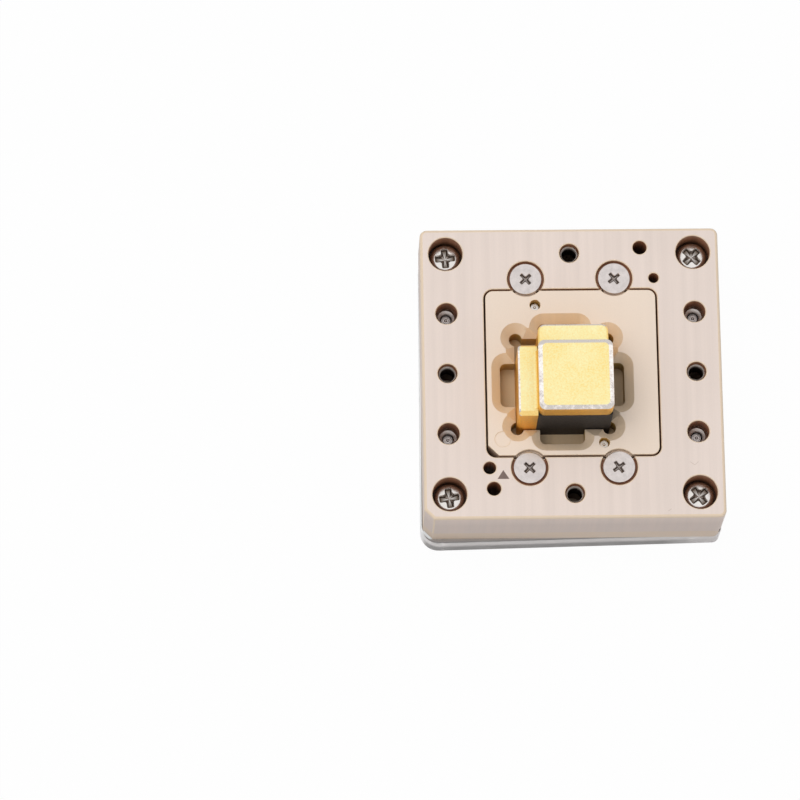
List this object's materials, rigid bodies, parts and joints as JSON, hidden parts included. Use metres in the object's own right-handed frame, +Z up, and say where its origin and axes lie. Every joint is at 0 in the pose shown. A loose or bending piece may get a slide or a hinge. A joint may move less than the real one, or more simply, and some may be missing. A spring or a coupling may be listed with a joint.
{
  "type": "chip test socket",
  "caption": "Square beige test socket with a floating nest, spring probes and corner screws, holding a gold-capped module, on a clear underside cover.",
  "frame": {"origin": "under the middle of the clear cover, on the surface that it stands on", "axes": "+Z up through the nest, +X to the right, +Y to the back; the cut-off index corner is at -X -Y"},
  "size_m": [0.0426, 0.043, 0.0266],
  "materials": {
    "body_plastic": "machined satin",
    "nest_plastic": "machined satin",
    "clear_plastic": "clear polished",
    "bright_nickel": "bright plated",
    "satin_nickel": "satin plated",
    "insert_steel": "drawn wire",
    "pin_steel": "ground",
    "spring_steel": "drawn wire",
    "probe_brass": "gold plated",
    "module_gold": "gold anodised, bare bevels",
    "module_black": "matte black"
  },
  "bodies": {
    "socket": {"socket_body": "body_plastic", "probe_retainer": "body_plastic", "protective_cover": "clear_plastic", "corner_screws": "bright_nickel", "nest_screws": "satin_nickel", "retainer_screws": "satin_nickel", "lid_thread_inserts": "insert_steel", "retainer_thread_inserts": "insert_steel", "guide_pin_back": "pin_steel", "guide_pin_front": "pin_steel", "alignment_dowel_back": "pin_steel", "alignment_dowel_front": "pin_steel", "nest_spring_1": "spring_steel", "nest_spring_2": "spring_steel", "nest_spring_3": "spring_steel", "nest_spring_4": "spring_steel", "probe_barrel_1": "probe_brass", "probe_barrel_2": "probe_brass", "probe_barrel_3": "probe_brass", "probe_barrel_4": "probe_brass", "probe_barrel_5": "probe_brass", "probe_barrel_6": "probe_brass", "probe_barrel_7": "probe_brass", "probe_barrel_8": "probe_brass"},
    "nest": {"nest_plate": "nest_plastic", "module_core": "module_black", "module_cover": "module_gold"},
    "probe_tips": {"probe_tip_1": "probe_brass", "probe_tip_2": "probe_brass", "probe_tip_3": "probe_brass", "probe_tip_4": "probe_brass", "probe_tip_5": "probe_brass", "probe_tip_6": "probe_brass", "probe_tip_7": "probe_brass", "probe_tip_8": "probe_brass"},
    "probe_tails": {"probe_tail_1": "probe_brass", "probe_tail_2": "probe_brass", "probe_tail_3": "probe_brass", "probe_tail_4": "probe_brass", "probe_tail_5": "probe_brass", "probe_tail_6": "probe_brass", "probe_tail_7": "probe_brass", "probe_tail_8": "probe_brass"}
  },
  "joints": [
    {"name": "nest_float", "type": "slide", "parent": "socket", "child": "nest", "axis": [0, 0, 1], "range_m": [-0.0005, 0], "stiffness_N_per_m": 600, "springref_m": 0.003, "deforming": ["nest_spring_1", "nest_spring_2", "nest_spring_3", "nest_spring_4"]},
    {"name": "probe_tip_travel", "type": "slide", "parent": "socket", "child": "probe_tips", "axis": [0, 0, 1], "range_m": [-0.0005, 0], "stiffness_N_per_m": 100, "springref_m": 0.001},
    {"name": "probe_tail_travel", "type": "slide", "parent": "socket", "child": "probe_tails", "axis": [0, 0, 1], "range_m": [0, 0.00035], "stiffness_N_per_m": 100, "springref_m": -0.001}
  ],
  "couplings": [
    {"joint": "probe_tip_travel", "follows": "nest_float", "ratio": 1}
  ]
}
